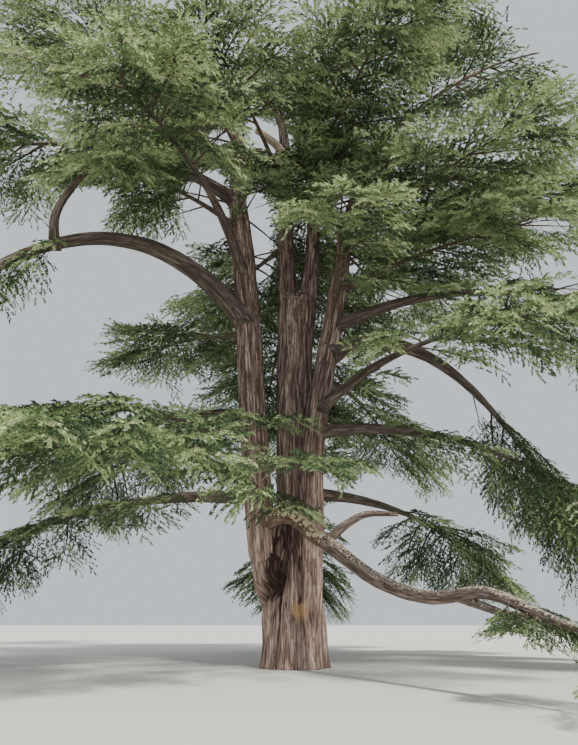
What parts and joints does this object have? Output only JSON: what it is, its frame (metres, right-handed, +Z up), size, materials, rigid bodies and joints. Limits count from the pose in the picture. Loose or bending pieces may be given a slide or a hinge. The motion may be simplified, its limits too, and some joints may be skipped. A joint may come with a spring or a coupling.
{
  "type": "cedar tree",
  "caption": "Old spreading cedar: a fluted reddish trunk forking into tall stems, arching boughs, a long low limb near the ground, and a broad crown of flat tiers of needles.",
  "frame": {"origin": "centre of the flat cut under the trunk, at ground level", "axes": "+Z up the tree; -Y the side that the long low limb reaches out on; +X to the right as seen from that side"},
  "size_m": [28.1517, 27.8299, 27.3293],
  "materials": {
    "bark": "rough furrowed bark",
    "lichened_bark": "rough bark, grey with lichen on top",
    "needles": "matt green needles"
  },
  "bodies": {
    "root": {"arch_branch": "bark", "back_high": "bark", "back_high_foliage": "needles", "back_left": "bark", "back_left_foliage": "needles", "back_low": "bark", "back_low_foliage": "needles", "back_right": "bark", "back_right_foliage": "needles", "back_right_low": "bark", "back_right_low_foliage": "needles", "centre_stem": "bark", "far_left": "bark", "far_left_foliage": "needles", "front_high": "bark", "front_high_foliage": "needles", "front_left": "bark", "front_left_foliage": "needles", "front_low": "bark", "front_low_foliage": "needles", "front_right": "bark", "front_right_foliage": "needles", "left_arch_fall": "bark", "left_arch_foliage": "needles", "left_arch_rise": "bark", "left_prong": "bark", "left_prong_foliage": "needles", "left_prong_tier_1": "needles", "left_prong_tier_2": "needles", "left_stem": "bark", "left_stem_foliage": "needles", "left_stem_tier_1": "needles", "left_stem_tier_2": "needles", "left_stem_tier_3": "needles", "low_elbow": "lichened_bark", "low_fork": "lichened_bark", "low_left": "bark", "low_left_foliage": "needles", "low_limb": "lichened_bark", "low_limb_foliage": "needles", "right_arch_fall": "bark", "right_arch_foliage": "needles", "right_arch_rise": "bark", "right_fan": "bark", "right_fan_foliage": "needles", "right_low": "bark", "right_low_foliage": "needles", "right_prong": "bark", "right_prong_foliage": "needles", "right_prong_tier_1": "needles", "right_prong_tier_2": "needles", "right_stem": "bark", "right_stem_foliage": "needles", "right_stem_tier_1": "needles", "right_stem_tier_2": "needles", "right_stem_tier_3": "needles", "right_stem_tier_4": "needles", "trunk": "bark", "upper_left": "bark", "upper_left_foliage": "needles"}
  },
  "joints": []
}
